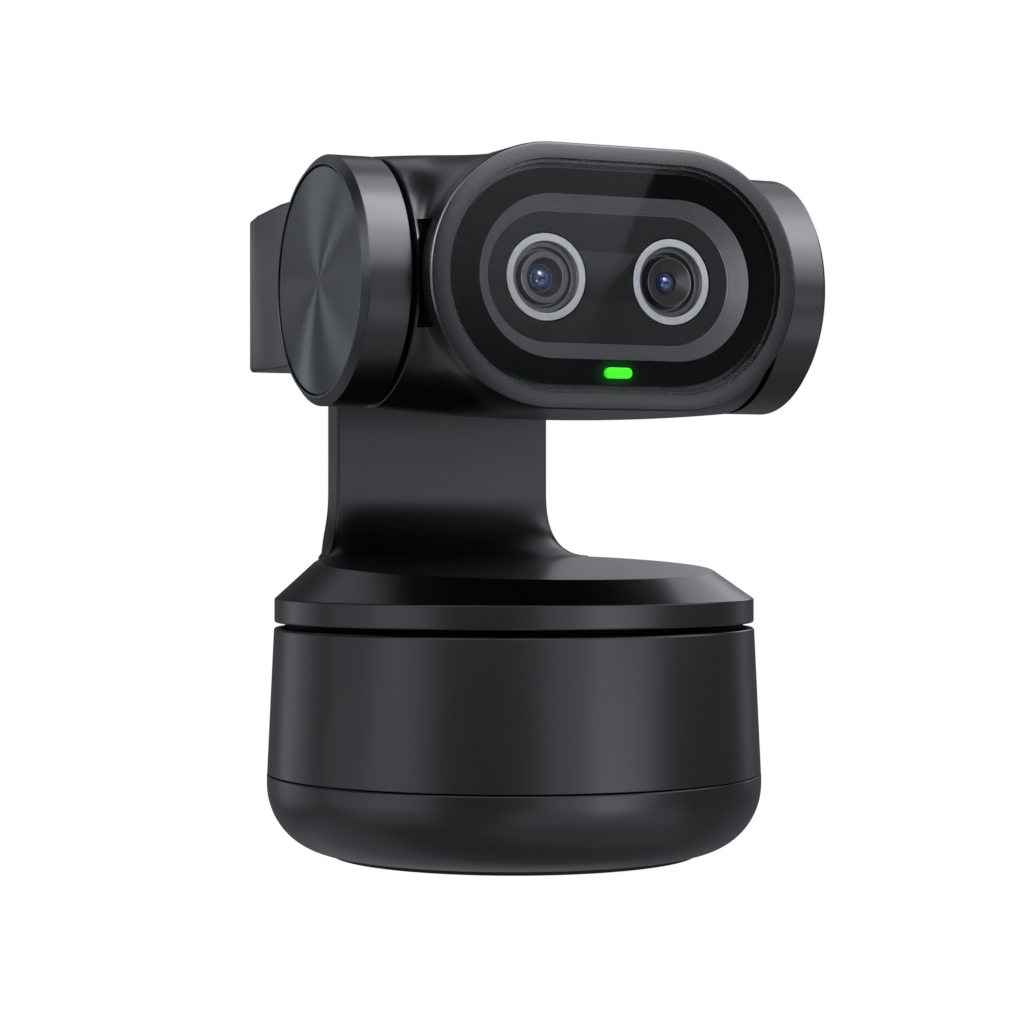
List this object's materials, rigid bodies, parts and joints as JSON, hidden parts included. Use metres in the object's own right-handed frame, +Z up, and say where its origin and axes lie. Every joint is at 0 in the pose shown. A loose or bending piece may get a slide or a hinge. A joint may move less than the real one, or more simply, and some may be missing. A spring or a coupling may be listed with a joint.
{
  "type": "ptz camera",
  "caption": "Desktop pan-tilt camera: a round base, a turntable with a rear neck plate, and a wide head with paired lenses that tilts between side drums.",
  "frame": {"origin": "centre of the round base, on the plane that it stands on", "axes": "+Z up along the pan axis; the lenses face -Y and the neck is on the +Y side; +X is to the right of someone who looks at the lenses; the tilt axis is parallel to X"},
  "size_m": [0.056, 0.056, 0.0776],
  "materials": {
    "base_shell": "satin, fine grain",
    "yoke_paint": "satin, fine blasted grain",
    "head_shell": "satin, fine grain",
    "foot_rubber": "matt",
    "spun_disc": "spun, fine concentric lines",
    "front_glass": "polished",
    "mask_black": "satin",
    "lens_plate_black": "satin",
    "lens_ring_silver": "satin",
    "lens_coated_glass": "polished, coated",
    "status_green": "glowing",
    "steel_parts": "machined",
    "brass_insert": "machined",
    "aluminium_parts": "machined",
    "circuit_board": "solder mask",
    "flex_film": "film"
  },
  "bodies": {
    "base": {"foot_pad": "foot_rubber", "base_lower_shell": "base_shell", "base_upper_shell": "base_shell", "tripod_nut": "brass_insert", "base_weight": "steel_parts", "main_board": "circuit_board", "usb_c_socket": "steel_parts", "usb_c_tongue": "mask_black", "usb_board": "circuit_board", "pan_motor_stator": "steel_parts", "pan_bearing": "steel_parts", "base_screw_1": "steel_parts", "base_screw_2": "steel_parts", "base_screw_3": "steel_parts"},
    "pan_body": {"pan_hub": "aluminium_parts", "pan_motor_rotor": "steel_parts", "yoke_frame": "yoke_paint", "hub_screw_1": "steel_parts", "hub_screw_2": "steel_parts", "hub_screw_3": "steel_parts", "neck_cover": "yoke_paint", "flex_cable": "flex_film", "rear_housing": "yoke_paint", "rear_cover": "yoke_paint", "driver_board": "circuit_board", "neck_screw_1": "steel_parts", "neck_screw_2": "steel_parts", "neck_screw_3": "steel_parts", "neck_screw_4": "steel_parts", "left_end_cap": "yoke_paint", "right_end_cap": "yoke_paint", "left_cap_disc": "spun_disc", "right_cap_disc": "spun_disc", "left_tilt_axle": "steel_parts", "right_tilt_axle": "steel_parts"},
    "camera_head": {"head_shell": "head_shell", "front_bezel": "head_shell", "cover_glass": "front_glass", "lens_mask": "mask_black", "status_led": "status_green", "lens_plate": "lens_plate_black", "sensor_board": "circuit_board", "heat_spreader": "aluminium_parts", "tilt_motor": "steel_parts", "tilt_bearing": "steel_parts", "left_lens_ring": "lens_ring_silver", "right_lens_ring": "lens_ring_silver", "left_lens_barrel": "mask_black", "right_lens_barrel": "mask_black", "left_lens_glass": "lens_coated_glass", "right_lens_glass": "lens_coated_glass", "left_image_sensor": "mask_black", "right_image_sensor": "mask_black"}
  },
  "joints": [
    {"name": "pan", "type": "hinge", "parent": "base", "child": "pan_body", "pos_m": [0, 0, 0.0255], "axis": [0, 0, 1], "range_deg": [-155, 155]},
    {"name": "tilt", "type": "hinge", "parent": "pan_body", "child": "camera_head", "pos_m": [0, -0.00975, 0.0632], "axis": [1, 0, 0], "range_deg": [-90, 90]}
  ]
}
